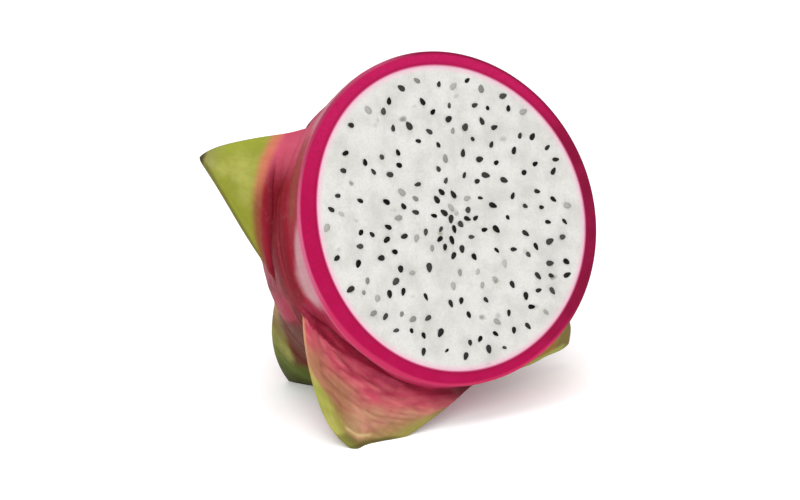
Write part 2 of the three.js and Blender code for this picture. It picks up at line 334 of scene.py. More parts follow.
# ---- Meshes ----
def mesh_object(name, points, faces):
    mesh = bpy.data.meshes.new(name)
    mesh.from_pydata((np.asarray(points) * MM).tolist(), [], faces)
    made = bpy.data.objects.new(name, mesh)
    bpy.context.scene.collection.objects.link(made)
    return made


def rows_of(items, key):
    """One vector for each of the mesh's vertices or polygons."""
    flat = np.empty(len(items) * 3)
    items.foreach_get(key, flat)
    return flat.reshape(-1, 3)


def points_of(mesh):
    return rows_of(mesh.vertices, "co") / MM


def boolean(target, operation, *tools):
    """Cuts or joins the tools into the target's mesh, and removes them."""
    group = bpy.data.collections.new("tools")
    for tool in tools:
        group.objects.link(tool)
    cutter = target.modifiers.new("boolean", "BOOLEAN")
    cutter.operation, cutter.solver = operation, "MANIFOLD"
    cutter.operand_type, cutter.collection = "COLLECTION", group
    bpy.context.view_layer.update()
    result = bpy.data.meshes.new_from_object(target.evaluated_get(bpy.context.evaluated_depsgraph_get()))
    target.modifiers.clear()
    target.data = result
    for tool in tools:
        bpy.data.objects.remove(tool)
    bpy.data.collections.remove(group)


def box_object(name, low, high, place=None):
    corners = [[x, y, z] for z in (low[2], high[2]) for y in (low[1], high[1]) for x in (low[0], high[0])]
    faces = [[0, 2, 3, 1], [4, 5, 7, 6], [0, 1, 5, 4], [2, 6, 7, 3], [0, 4, 6, 2], [1, 3, 7, 5]]
    made = mesh_object(name, corners, faces)
    if place is not None:
        made.data.transform(place)
    return made


def point_attribute(mesh, name, values):
    """Stores one number, or three for a colour, at each vertex."""
    values = np.asarray(values, np.float32)
    if values.ndim == 1:
        mesh.attributes.new(name, "FLOAT", "POINT").data.foreach_set("value", values)
    else:
        rgba = np.concatenate([values, np.ones((len(values), 1), np.float32)], 1)
        mesh.attributes.new(name, "FLOAT_COLOR", "POINT").data.foreach_set("color", rgba.ravel())


def vector_attribute(mesh, name, values):
    """Stores a place in mm at each vertex, for textures."""
    store = mesh.attributes.new(name, "FLOAT_VECTOR", "POINT")
    store.data.foreach_set("vector", (np.asarray(values) * MM).astype(np.float32).ravel())


# ---- How the fruit lies ----
face_mount = next(m for m in frame["record"]["mounts"] if m["name"] == "cut_face")
cut_normal = Vector(face_mount["axis"])
tilt = math.atan2(cut_normal.z, -cut_normal.y)
cut_up = Vector((0, math.sin(tilt), math.cos(tilt)))
cut_centre = Vector(face_mount["pos_m"]) - cut_up * RING_MIDDLE * MM
LIE = Matrix.Translation(cut_centre) @ Matrix.Rotation(-tilt, 4, "X")


# ---- Materials ----
class Look:
    """A material with one Principled shader, and short ways to add nodes to it."""

    def __init__(self, name, sockets):
        self.made = bpy.data.materials.new(name)
        self.made.use_nodes = True
        self.nodes, self.link = self.made.node_tree.nodes, self.made.node_tree.links.new
        self.shader = self.nodes["Principled BSDF"]
        for socket, value in sockets.items():
            self.shader.inputs[socket].default_value = value

    def add(self, kind, **settings):
        node = self.nodes.new("ShaderNode" + kind)
        for key, value in settings.items():
            if key in node.inputs:
                node.inputs[key].default_value = value
            else:
                setattr(node, key, value)
        return node

    def carried(self, name, output="Fac"):
        """What the mesh carries at its vertices under this name."""
        return self.add("Attribute", attribute_name=name).outputs[output]

    def noise(self, spot, output=0, **settings):
        node = self.add("TexNoise", **settings)
        self.link(spot, node.inputs["Vector"])
        return node.outputs[output]

    def ranged(self, value, *limits):
        """A value eased from one range, low and high, to another."""
        node = self.add("MapRange", interpolation_type="SMOOTHSTEP")
        self.link(value, node.inputs[0])
        for i, limit in enumerate(limits, 1):
            node.inputs[i].default_value = limit
        return node.outputs[0]

    def blend(self, share, a, b, kind="MIX"):
        """Two colours mixed, each of them a socket or a value."""
        node = self.add("Mix", data_type="RGBA", blend_type=kind)
        self.link(share, node.inputs[0])
        for socket, value in ((node.inputs[6], a), (node.inputs[7], b)):
            if isinstance(value, bpy.types.NodeSocket):
                self.link(value, socket)
            else:
                socket.default_value = (*value, 1)
        return node.outputs[2]

    def math(self, operation, a, b):
        node = self.add("Math", operation=operation)
        self.link(a, node.inputs[0])
        self.link(b, node.inputs[1])
        return node.outputs[0]

    def scaled(self, source, *scale):
        node = self.add("Mapping", Scale=scale)
        self.link(source, node.inputs["Vector"])
        return node.outputs[0]

    def bump(self, height, distance, strength):
        node = self.add("Bump", Strength=strength, Distance=distance)
        self.link(height, node.inputs["Height"])
        self.link(node.outputs[0], self.shader.inputs["Normal"])

    def painted(self, colour, uneven=None, *roughness):
        """The material, with its colour and with a roughness that follows a noise."""
        self.link(colour, self.shader.inputs["Base Color"])
        if roughness:
            self.link(self.ranged(uneven, 0.3, 0.7, *roughness), self.shader.inputs["Roughness"])
        return self.made


def skin_material():
    """Waxy skin: the colours that the mesh carries, with veins along each bract, mottling and fine pores."""
    look = Look("peel_skin", {
        "Specular IOR Level": 0.05,
        "Subsurface Weight": 0.12,
        "Subsurface Radius": (1.0, 0.35, 0.3),
        "Subsurface Scale": 0.0015,
    })
    spot = look.carried("spot", "Vector")
    along = look.scaled(look.carried("grain", "Vector"), 90, 1100, 1100)
    veins = look.noise(along, Scale=1.0, Detail=3.0, Roughness=0.6)
    mottle = look.noise(spot, Scale=420.0, Detail=4.0, Roughness=0.65)
    pores = look.noise(spot, Scale=2600.0, Detail=2.0)
    veined = look.blend(
        look.ranged(veins, 0.35, 0.62, 0.14, 0.0), look.carried("tint", "Color"), (0.6, 0.5, 0.5), "MULTIPLY"
    )
    mottled = look.blend(look.ranged(mottle, 0.5, 0.75, 0.0, 0.03), veined, (0.9, 0.6, 0.55))
    look.bump(look.math("ADD", veins, pores), 0.00008, 0.5)
    return look.painted(mottled, mottle, 0.38, 0.56)


def cut_material():
    """The peel where the knife went through: wet magenta, pale against the flesh, with painted shade to the
    right, painted light at the top, and painted light or shade along its outer edge.
    """
    look = Look("peel_cut", {
        "Specular IOR Level": 0.1,
        "Subsurface Weight": 0.1,
        "Subsurface Radius": (1.0, 0.25, 0.4),
        "Subsurface Scale": 0.001,
    })
    inside, outside = look.carried("from_flesh"), look.carried("from_skin")
    spot = look.carried("spot", "Vector")
    cells = look.noise(spot, Scale=900.0, Detail=4.0, Roughness=0.7)
    patches = look.noise(spot, Scale=160.0, Detail=2.0)
    base = look.blend(look.ranged(cells, 0.35, 0.7, 0.0, 0.4), look.carried("ring_shade_and_light", "Color"), RING_EDGE)
    base = look.blend(look.ranged(patches, 0.4, 0.65, 0.0, 0.15), base, shade(198, 30, 98))
    dim = look.blend(look.ranged(inside, 0.3, 1.6, 0.55, 0.0), base, RING_EDGE)
    rimmed = look.blend(look.ranged(outside, 0.45, 1.0, 0.85, 0.0), dim, look.carried("ring_edge", "Color"))
    pithy = look.blend(look.ranged(inside, 0.0, 0.5, 0.85, 0.0), rimmed, RING_PITH)
    look.bump(cells, 0.00012, 0.5)
    return look.painted(pithy, cells, 0.3, 0.5)


def flesh_material():
    """Moist white flesh: cloudy and finely grained, pink at the rim, with seeds that show through as grey."""
    look = Look("flesh_pulp", {
        "Subsurface Weight": 0.5,
        "Subsurface Radius": (1.0, 0.9, 0.8),
        "Subsurface Scale": 0.003,
    })
    spot = look.carried("spot", "Vector")
    cloud = look.noise(spot, Scale=130.0, Detail=5.0, Roughness=0.6)
    grains = look.noise(spot, Scale=1500.0, Detail=3.0, Roughness=0.6)
    white = look.blend(look.ranged(cloud, 0.35, 0.7, 0.0, 1.0), shade(232, 231, 226), shade(212, 211, 205))
    speckled = look.blend(look.ranged(grains, 0.42, 0.7, 0.0, 0.3), white, shade(192, 191, 184))
    bent = look.add("VectorMath", operation="MULTIPLY_ADD")
    look.link(look.noise(spot, "Color", Scale=300.0, Detail=1.0), bent.inputs[0])
    bent.inputs[1].default_value = (0.0022, 0.0022, 0.0022)
    look.link(spot, bent.inputs[2])
    seeds = look.add("TexVoronoi", Scale=1.0, Randomness=0.9)
    look.link(look.scaled(bent.outputs[0], 165, 0, 230), seeds.inputs["Vector"])
    draw = look.add("SeparateColor")
    look.link(seeds.outputs["Color"], draw.inputs[0])
    near = look.ranged(seeds.outputs["Distance"], 0.08, 0.24, 1.0, 0.0)
    some = look.ranged(draw.outputs[0], 0.4, 0.95, 0.0, 0.8)
    grey = look.blend(look.math("MULTIPLY", near, some), speckled, shade(120, 118, 106))
    blush = look.blend(look.ranged(look.carried("from_rim"), 0.0, 1.7, 0.95, 0.0), grey, shade(248, 200, 216))
    look.bump(grains, 0.00015, 0.45)
    return look.painted(blush, grains, 0.34, 0.55)


def seed_material():
    """Wet black seed coats, a little brown in places, and grey where flesh veils them."""
    look = Look("seeds", {"Roughness": 0.4, "Specular IOR Level": 0.07})
    spot = look.carried("spot", "Vector")
    patches = look.noise(spot, Scale=260.0, Detail=2.0)
    black = look.blend(look.ranged(patches, 0.4, 0.7, 0.0, 1.0), shade(6, 6, 6), shade(30, 27, 22))
    look.bump(look.noise(spot, Scale=4000.0, Detail=2.0), 0.00004, 0.4)
    return look.painted(look.blend(look.carried("veil"), black, shade(196, 195, 188)))


def floor_material():
    """White paper on a light table."""
    look = Look("floor_paper", {
        "Roughness": 0.9,
        "Specular IOR Level": 0.1,
        "Emission Color": (1, 1, 1, 1),
        "Emission Strength": 0.12,
    })
    paper = look.noise(look.add("TexCoord").outputs["Object"], Scale=6.0, Detail=3.0)
    return look.painted(look.blend(paper, (0.93, 0.93, 0.93), (0.95, 0.95, 0.95)))


# ---- Peel ----
def build_peel():
    """The peel as one closed mesh, and what each of its points was made as."""
    sources, bodies = [], []
    cup_points, cup_faces = lathe(cup_rings())
    cup_points = textured_cup(cup_points)
    sources.append((cup_points, np.zeros((len(cup_points), 6))))
    cup = mesh_object("peel_skin", cup_points, cup_faces)

    for number, (name, one) in enumerate(BRACTS.items(), 1):
        rings, facts = bract_rings(one)
        points, faces = lathe(list(rings))
        made = mesh_object(name, points, faces)
        tags = np.zeros((len(points), 6))
        tags[:, 0] = number
        tags[: rings.shape[0] * rings.shape[1], 1:] = facts.reshape(-1, 5)
        tags[-2:, 1:] = [facts[0].mean(0), facts[-1].mean(0)]
        sources.append((points, tags))
        bodies.append(made)

    for made in bodies:
        under_floor = min((LIE @ v.co).z for v in made.data.vertices) < 0
        knife = box_object("knife", (-FAR, -FAR, -FAR), (FAR, KNIFE, FAR))
        boolean(made, "DIFFERENCE", mesh_object("hollow", *lathe(hollow_rings())), knife)
        if under_floor:
            below = box_object("below", (-FAR, -FAR, -FAR), (FAR, FAR, 0), LIE.inverted())
            boolean(made, "DIFFERENCE", below)
    boolean(cup, "UNION", *bodies)
    return cup, sources


def hollow_rings(count=HOLLOW_ROUND):
    """The tool that keeps the bracts' roots out of the hollow: the flesh, drawn out past the cut."""
    angle = turns_of(count)
    rings = [around_axis(angle, 39.0, -9.0)]
    for along in np.sin(np.linspace(0.0, 0.97, 14) * np.pi / 2):
        depth = (FLESH_DEPTH + GAP) * along
        radius = flesh_radius(angle, depth, GAP + 0.1)
        rings.append(around_axis(angle, radius, depth, flesh_shift(along)))
    return rings


def textured_cup(points):
    """The cup with its skin gently uneven."""
    y = points[:, 1]
    angle = np.arctan2(points[:, 2], points[:, 0])
    radius = np.hypot(points[:, 0], points[:, 2])
    skin = (radius > skin_at(angle, np.clip(y, 0, HALF_LENGTH)) - 0.3) & (y > 0.1)
    here = points[skin]
    lift = 0.45 * rough(here, 11.0) * ease(here[:, 1], 1, 9)
    flat = np.stack([angle[skin] * CUT_RADIUS, here[:, 1] * 0.18, 0 * here[:, 1]], -1)
    lift += 0.1 * rough(flat, 1.6) * ease(here[:, 1], 1, 5)
    out = points.copy()
    out[skin, 0] += lift * np.cos(angle[skin])
    out[skin, 2] += lift * np.sin(angle[skin])
    return out


def tags_of(points, sources):
    """For each point, the facts of the nearest point that it was made from."""
    every = np.concatenate([p for p, _ in sources])
    facts = np.concatenate([t for _, t in sources])
    tree = kdtree.KDTree(len(every))
    for i, p in enumerate(every):
        tree.insert(p, i)
    tree.balance()
    return facts[[tree.find(p)[1] for p in points]]


def height_of(points):
    """How high points lie above the floor, in mm."""
    return (np.array(LIE)[:3, :3] @ points.T).T[:, 2] + LIE.translation.z / MM


def soften_seams(mesh, points, owner, reach=1.6, turns=12):
    """Rounds the lines where the bracts grow out of the skin."""
    edges = np.empty(len(mesh.edges) * 2, int)
    mesh.edges.foreach_get("vertices", edges)
    a, b = edges.reshape(-1, 2).T
    seam = np.unique(np.concatenate([a[owner[a] != owner[b]], b[owner[a] != owner[b]]]))
    tree = kdtree.KDTree(len(seam))
    for i in seam:
        tree.insert(points[i], int(i))
    tree.balance()
    gap = np.array([tree.find(p)[2] for p in points])
    height = height_of(points)
    weight = 0.6 * fall(gap, 0.2, reach) * ease(points[:, 1], 0.25, 1.2) * ease(height, 0.2, 1.5)
    degree = np.bincount(np.concatenate([a, b]), minlength=len(points))[:, None]
    moved = points.copy()
    count = len(points)
    for _ in range(turns):
        sums = [np.bincount(a, moved[b, k], count) + np.bincount(b, moved[a, k], count) for k in range(3)]
        moved += weight[:, None] * (np.stack(sums, -1) / degree - moved)
    return moved, gap


class Place:
    """Where each point of the peel lies: its angle in degrees, its distance from the cut (y) and with how
    far it stands off the skin added (past), its part (0 is the cup), its place on that part's bract, its
    height, and how far the nearest seam between two parts is. drift, wander and fine are noise."""

    def __init__(self, points, tags, seam):
        angle = np.arctan2(points[:, 2], points[:, 0])
        self.points, self.y, self.seam = points, points[:, 1], seam
        self.turn = np.degrees(angle) % 360
        self.radius = np.hypot(points[:, 0], points[:, 2])
        self.arc = np.radians(self.turn) * CUT_RADIUS
        self.over = np.maximum(self.radius - skin_at(angle, np.clip(self.y, 0, HALF_LENGTH)), 0)
        self.past = self.y + self.over
        self.part = tags[:, 0].astype(int)
        self.along, self.v, self.margin, self.face, self.u = tags[:, 1:].T
        self.inner = self.face < 0
        self.height = height_of(points)
        self.drift = rough(self.field(0.25, self.past), 8.0)
        self.wander, self.fine = rough(points, 5.0, 2.0), rough(points, 1.3, 9.0)

    def field(self, share, across, seed=0.0):
        """Coordinates for noise that is drawn out along the ring."""
        return np.stack([self.arc * share, across, np.full(len(across), seed)], -1)

    def is_part(self, name):
        return self.part == list(BRACTS).index(name) + 1


def ridge(distance, width):
    return np.exp(-((distance / width) ** 2))


FRONT_CREASE = [
    (199, 9.4), (204, 7.6), (209, 4.7), (214, 3.5), (219, 2.4), (225, 1.9), (231, 2.6),
    (237, 3.8), (243, 4.6), (248, 5.2), (252, 5.5), (258, 5.1), (264, 4.6),
]  # how far from the cut the front crease lies, at each angle
LEFT_CREASE = [(145, 16.0), (155, 15.9), (167, 15.3), (176, 16.6), (184, 18.0), (192, 20.5)]
LEAF_EDGE = [(-4, 22.0), (4, 21.5), (11, 20.7), (19, 19.3), (23, 18.6), (27, 17.8), (31, 17.2)]  # by height
PALE_REACH = [
    (112, 1), (125, 3), (138, 3), (144, 0.4), (170, 0.5), (176, 1.8), (182, 3.6), (189, 5.6), (196, 5.4),
    (201, 3.2), (207, 0.8),
]  # how far from the cut the painted sheen reaches, at each angle
RING_EDGE_WIDTH = [
    (0, 1), (120, 1), (150, 0.75), (190, 1.1), (205, 1.5), (215, 1.8), (232, 2.0), (246, 1.2),
    (256, 0.9), (360, 1),
]  # the ring's lit outer edge in mm, at each angle
# How wide the front bract's green rim is in mm, by the share of its length
RIM_ON_LEFT = [(0.42, 0.0), (0.5, 1.2), (0.57, 4.5), (0.65, 7.0), (0.74, 7.2), (0.83, 5.2), (0.95, 4.5)]
RIM_ON_RIGHT = [(0.26, 0.0), (0.36, 1.2), (0.45, 3.0), (0.6, 4.4), (0.75, 5.5), (0.9, 6.5)]


def lip_of(at):
    """Where the tip of the front bract turns over, a little above the floor."""
    x = at.points[:, 0]
    level = at.height - np.interp(x, [-38.5, -36.8, -35.5, -31], [4.4, 3.0, 2.1, 1.7]) + 0.2 * at.drift
    return at.is_part("front") * (at.face > 0) * ridge(level, 0.42) * span(x, -38.8, -37.8, -33, -31)


def folds_of(at):
    """The folds that run along the ring, as a depth in mm and as a share of how dark their bottoms are: their
    deeper red is partly their own and partly painted shade.
    """
    on_left = span(at.turn, 134, 148, 184, 194) * ((at.part == 0) | at.is_part("left"))
    line = at.y - table(at.turn, LEFT_CREASE) - 0.3 * at.drift
    sharp = on_left * ease(at.turn, 145, 158)
    streak = rough(at.field(0.05, at.y + 0.5 * at.drift, 4.0), 3.0)
    grooves = on_left * span(at.y, 1.5, 4, 13, 16) * ridge(streak, 0.2)
    deep = sharp * (0.9 * ridge(line, 0.6) - 0.4 * ridge(line - 1.7, 1.0)) + 0.2 * grooves
    dark = np.maximum(0.9 * sharp * ridge(line, 0.75), 0.14 * grooves)

    on_front = span(at.turn, 197, 204, 258, 266) * ((at.part == 0) | at.is_part("front")) * fall(at.y, 12, 17)
    first = at.past - table(at.turn, FRONT_CREASE) - 0.25 * at.drift
    wide = np.interp(at.turn, [200, 228, 240, 262], [1.3, 1.3, 0.6, 0.5])
    strong = np.interp(at.turn, [200, 228, 240, 262], [0.75, 0.8, 0.42, 0.3])
    second = span(at.turn, 214, 220, 238, 246) * ridge(at.past - 8.1 - 0.5 * at.drift, 0.6)
    deep += on_front * (strong * ridge(first, 0.75) + 0.4 * second)
    dark = np.maximum(dark, on_front * np.maximum(1.1 * strong * ridge(first, wide), 0.45 * second))

    wrinkle = rough(at.field(0.2, at.past + 1.3 * at.drift, 11.0), 1.9)
    small = rough(at.field(0.33, at.past + 1.6 * at.drift, 17.0), 1.15)
    leafy = span(at.margin, 1.5, 5.5, 90, 99) * (1 - 0.7 * ease(at.u, 0.6, 0.85))
    room = np.where(at.part == 0, 1.0, leafy) * on_front * ease(at.past, 3.5, 5.5)
    deep += room * (0.26 * ridge(wrinkle, 0.18) + 0.13 * ridge(small, 0.25)) - 0.35 * lip_of(at)
    dark = np.maximum(dark, room * (0.26 * ridge(wrinkle, 0.2) + 0.18 * ridge(small, 0.25)))
    outside = (at.part == 0) | (at.face > 0)
    deep = deep * outside * ease(at.y, 0.3, 1.6) * ease(at.height, 0.2, 1.5)
    return deep, dark * outside * ease(at.y, 0.1, 0.6)


EXPOSURE = 1.5  # how bright the lights make a white card


def shade(red, green, blue):
    """A colour from the screen values, 0 to 255, that it has when it is lit."""
    value = np.array([red, green, blue]) / 255
    return np.where(value <= 0.04045, value / 12.92, ((value + 0.055) / 1.055) ** 2.4) / EXPOSURE


CRIMSON, PINK, ROSE, DEEP = shade(150, 22, 58), shade(202, 50, 98), shade(192, 72, 96), shade(112, 4, 30)
PALE_SHEEN, RUST, BROWN_IN_SHADE = shade(226, 195, 197), shade(152, 76, 66), shade(104, 38, 12)
BEIGE, TAN, STRAW, TIP = shade(186, 140, 100), shade(204, 166, 118), shade(230, 204, 146), shade(66, 56, 42)
GREEN, LIME, OLIVE_IN_SHADE, GREEN_IN_SHADE = shade(154, 162, 64), shade(184, 186, 96), shade(104, 100, 48), shade(78, 83, 14)
RING, RING_EDGE, RING_PITH = shade(184, 4, 76), shade(144, 4, 60), shade(244, 150, 186)
RING_SHADED, RING_LIT = shade(132, 14, 58), shade(224, 116, 152)


def blend(a, b, share):
    """Colours a with this share of b, at each point."""
    return a + (b - a) * np.asarray(share)[..., None]


def peel_colours(at, dark):
    """The colour of the peel's skin side at each point: the skin's, then each bract's, then the folds."""
    large, small = rough(at.points, 16.0), rough(at.points, 3.5, 5.0)
    colour = blend(CRIMSON, PINK, ease(0.55 * large + 0.25 * small, -0.6, 0.7))
    colour = left_skin(at, colour)
    colour = front_skin(at, colour)
    colour = nook_skin(at, colour, small)
    # Painted light: a highlight on the skin's first mm next to the cut, strongest where the light falls.
    lit = np.interp(at.turn, [90, 105, 130, 150, 175, 205, 232, 262], [0, 0.7, 0.3, 0.3, 0.8, 0.9, 0.7, 0])
    colour = blend(colour, blend(PINK, RING_LIT, lit), 0.85 * fall(at.y, 0.3, 1.1))
    colour = blend(colour, shade(120, 96, 62), fall(at.radius + 40 * (at.y < SCAR_SIDE), 6, 10))
    for name, one in BRACTS.items():
        mine = at.is_part(name)
        colour[mine] = PAINTERS.get(name, any_bract)(one, at, colour)[mine]
    # The folds' bottoms darkened to deep crimson, partly the skin's own colour and partly painted shade.
    return blend(colour, DEEP, 0.92 * dark)


def left_skin(at, colour):
    """Between the ring and the left bract: red, streaked along the ring, and pale near the cut below, which
    is a painted sheen.
    """
    streak = rough(at.field(0.04, at.y + 0.4 * at.drift, 7.0), 2.6)
    red = blend(shade(118, 10, 28), shade(160, 36, 54), ease(streak, -0.5, 0.5))
    red = blend(red, shade(216, 92, 118), 0.9 * fall(at.turn, 145, 160))
    red = blend(red, RUST, 0.75 * span(at.turn, 138, 146, 168, 176) * span(at.y, 0.6, 1.6, 4, 6.5))
    colour = blend(colour, red, span(at.turn, 128, 142, 196, 206) * fall(at.y, 18, 24))
    reach = table(at.turn, PALE_REACH)
    low = span(at.turn, 170, 178, 201, 208) + 0.6 * span(at.turn, 108, 120, 136, 144)
    # Painted sheen: the skin made pale near the cut.
    pale = blend(PALE_SHEEN, shade(205, 157, 164), ease(streak, -0.1, 0.5))
    return blend(colour, pale, 0.9 * low * fall(at.y, reach * 0.7, reach + 1.4))


def front_skin(at, colour):
    """Between the ring and the front bract: a painted highlight along the edge, dark red folds, and painted
    shade under the ring.
    """
    beyond = at.past - table(at.turn, FRONT_CREASE)
    streak = rough(at.field(0.05, at.past + 0.6 * at.drift, 9.0), 1.6)
    red = blend(shade(138, 26, 50), shade(172, 48, 74), ease(streak, -0.4, 0.5))
    soon = np.interp(at.turn, [205, 218, 230, 240], [4.2, 3.6, 1.2, 0.2])
    red = blend(red, ROSE, ease(beyond, soon, soon * 1.6 + 0.6))
    # A painted highlight on the strip between the ring and the crease.
    red = blend(red, shade(210, 58, 104), fall(beyond, -2.4, -0.7) * ease(at.turn, 205, 222))
    colour = blend(colour, red, span(at.turn, 198, 206, 256, 270) * fall(at.past, 10, 15))
    # Painted shade on the skin under the ring.
    under = span(at.turn, 256, 266, 296, 312) * span(at.y, 0.4, 1.4, 6, 12)
    return blend(colour, shade(92, 36, 32), 0.8 * under)


def nook_skin(at, colour, small):
    """Between the left and the front bract: deep pink, and painted shade in brown where the front one shades
    it.
    """
    nook = blend(shade(114, 10, 24), shade(144, 28, 42), ease(small, -0.4, 0.5))
    patch = ease(at.y + 2.5 * at.drift, 14, 20) * span(at.turn, 191, 197, 203, 206)
    nook = blend(nook, shade(170, 42, 70), patch)
    # Painted shade: brown where the front bract shades the skin.
    nook = blend(nook, BROWN_IN_SHADE, ease(at.turn + 0.2 * (at.y - 20), 203, 208))
    return blend(colour, nook, span(at.turn, 186, 194, 214, 222) * span(at.y, 9, 13, 30, 36))


def left_bract(one, at, colour):
    """Green from a line along the ring outwards, over a narrow orange and brown band, lighter in the middle
    as a painted highlight and darker along the lower edge as painted shade.
    """
    z = at.points[:, 2]
    line = at.y - table(z, LEAF_EDGE) - 0.35 * at.wander
    band = blend(shade(143, 82, 55), shade(208, 122, 96), ease(z, 11, 23))
    out = blend(colour, band, ease(line, -2.6, -0.9))
    # Painted highlight: the leaf lighter in its middle.
    middle = 0.6 * at.wander + 0.2 * at.fine - np.abs(at.v + 0.1) + 0.5
    leaf = blend(shade(146, 151, 52), shade(178, 180, 90), ease(middle, -0.3, 0.8))
    leaf = blend(leaf, shade(156, 166, 60), 0.7 * fall(at.margin, 1.5, 5) * (at.v < 0))
    leaf = blend(leaf, shade(142, 140, 82), 0.7 * ease(at.u, 0.78, 0.95))
    # Painted shade: dark olive along the lower edge.
    leaf = blend(leaf, OLIVE_IN_SHADE, 0.7 * fall(at.margin, 0.5, 1.6) * (at.v > 0))
    out = blend(out, leaf, ease(line, -0.9, 0.9))
    return blend(out, TIP, 0.9 * ease(at.u + 0.015 * at.wander, 0.94, 0.98))


def front_bract(one, at, colour):
    """Folded and rosy by the ring, tan towards the tip, with a green rim, painted shade near the floor and by
    the ring, and a painted highlight on the curled lip.
    """
    fine = rough(at.field(0.3, at.past + 1.6 * at.drift, 17.0), 1.15)
    on_left = at.v < 0
    rosy = blend(shade(203, 78, 101), shade(221, 111, 119), ease(fine, -0.4, 0.5))
    low = blend(shade(206, 144, 120), shade(190, 154, 114), ease(0.5 * fine + 0.6 * at.wander, -0.4, 0.35))
    low = blend(low, shade(172, 114, 86), 0.8 * fall(at.v, -0.45, -0.15) * fall(at.u, 0.6, 0.72))
    out = blend(colour, rosy, ease(at.past, 5.5, 9))
    out = blend(out, low, ease(at.u + 0.2 * np.abs(at.v) + 0.05 * at.wander, 0.38, 0.6))

    reach = np.where(on_left, table(at.u, RIM_ON_LEFT), table(at.u, RIM_ON_RIGHT))
    band = reach * np.where(on_left, 1.0, 1.4)
    by_rim = fall(at.margin, band * 0.8, band * 1.6 + 0.1) * (reach > 0.2)
    out = blend(out, shade(164, 134, 84), 0.75 * by_rim)
    rind = blend(shade(178, 178, 88), shade(158, 162, 72), ease(at.wander + 0.4 * fine, -0.4, 0.5))
    rind = blend(rind, shade(150, 142, 74), 0.85 * (at.v > 0))
    edge = fall(at.margin + 0.6 * at.wander, reach * 0.35, reach * 1.2 + 0.1)
    out = blend(out, rind, 0.95 * edge * (reach > 0.2))

    near_tip = ease(at.u, 0.6, 0.7)
    # Painted shade where the tip comes near the floor.
    over_floor = at.height - np.interp(at.points[:, 0], [-38.5, -36, -30], [3.6, 1.7, 1.2])
    out = blend(out, shade(122, 118, 60), 0.85 * fall(over_floor, -0.9, 0.3) * near_tip)
    out = blend(out, shade(88, 84, 46), 0.7 * fall(at.height, 0.4, 1.1) * near_tip)
    # Painted shade at the right end, next to the ring.
    out = out * (1 - 0.3 * ease(at.turn, 252, 258))[:, None]
    # The curled lip in pale straw: the tip's own beige, lightened as a painted highlight.
    out = blend(out, STRAW, 0.8 * lip_of(at))
    thin_edge = fall(at.margin, 0.3, 0.9) * on_left * span(at.u, 0.1, 0.2, 0.5, 0.6)
    out = blend(out, blend(TAN, BEIGE, ease(at.u, 0.3, 0.45)), 0.7 * thin_edge)
    return blend(out, GREEN * 0.8, 0.5 * at.inner)


def behind_bract(one, at, colour):
    """Painted shade in brown where the front bract shades it, green at the outer side and below, darkened
    below as painted shade and darkest by the floor as a painted contact shadow.
    """
    # Painted shade: brown at the root, where the front bract shades it.
    out = blend(colour, BROWN_IN_SHADE, ease(at.u, 0.05, 0.16))
    green = blend(shade(155, 157, 76), shade(125, 127, 58), ease(at.wander + 0.5 * at.fine, -0.4, 0.5))
    green = blend(green, shade(128, 106, 56), 0.85 * fall(at.u, 0.38, 0.5))
    out = blend(out, green, fall(at.v + 0.12 * at.wander - 1.2 * at.u, -1.12, -0.9))
    inwards = 0.2 * np.maximum(at.v + 0.5, 0)
    # The bract's green, darker towards the tip as painted shade.
    out = blend(out, shade(95, 109, 28), ease(at.u + 0.05 * at.wander + inwards, 0.5, 0.66))
    out = blend(out, GREEN_IN_SHADE * 0.9, ease(at.u + 0.04 * at.wander, 0.64, 0.78))
    root_edge = fall(at.margin, 1.0, 4.0) * (at.v < 0) * fall(at.u, 0.28, 0.4)
    out = blend(out, shade(174, 130, 84), 0.8 * root_edge)
    # Painted contact shadow near the floor.
    out = blend(out, shade(58, 64, 28), 0.7 * fall(at.height, 0.3, 1.6))
    return blend(out, GREEN * 0.7, 0.5 * at.inner)


def far_bract(one, at, colour):
    """Brown and dark olive, with a light green lower rim."""
    outer = at.face > 0
    dull = blend(shade(175, 114, 38), shade(126, 102, 28), ease(at.u + 0.1 * at.wander, 0.6, 0.85))
    out = blend(any_bract(one, at, colour), dull, 0.85 * ease(at.u, 0.3, 0.5) * outer)
    rim = fall(at.margin, 1.6, 3.4) * (at.v < 0) * outer * span(at.u, 0.1, 0.3, 0.86, 0.93)
    return blend(out, shade(180, 188, 88), 0.9 * rim)


def any_bract(one, at, colour):
    """Red at the root and green towards the tip and along the margins, and like the skin at its seams."""
    start = one["green"]
    out = blend(colour, PINK * 0.8 + CRIMSON * 0.2, 0.6 * ease(at.along, 2, 9))
    green = ease(at.u + 0.05 * at.wander + 0.03 * at.fine, start - 0.06, start + 0.1)
    edge = fall(at.margin + at.wander, one["margin"] * 0.25, one["margin"]) * ease(at.along, 5, 14)
    turning = np.maximum(ease(at.u + 0.06 * at.wander, start - 0.22, start), 0.75 * edge)
    out = blend(out, shade(190, 106, 84), turning)
    leaf = blend(GREEN, LIME * 0.9, ease(at.wander + at.fine * 0.3, -0.5, 0.8))
    out = blend(out, leaf, np.maximum(green, 0.9 * edge))
    out = blend(out, TIP, 0.85 * ease(at.u + 0.02 * at.fine, 0.955, 0.99))
    out = blend(out, LIME * 0.8, 0.5 * green * at.inner)
    shown = np.maximum(ease(at.seam, 0.5, 5.5), ease(at.u, 0.5, 0.7) * ease(at.seam, 0.2, 2.6))
    return blend(colour, out, shown)


PAINTERS = {"left": left_bract, "front": front_bract, "back_left": behind_bract, "right_low": far_bract}


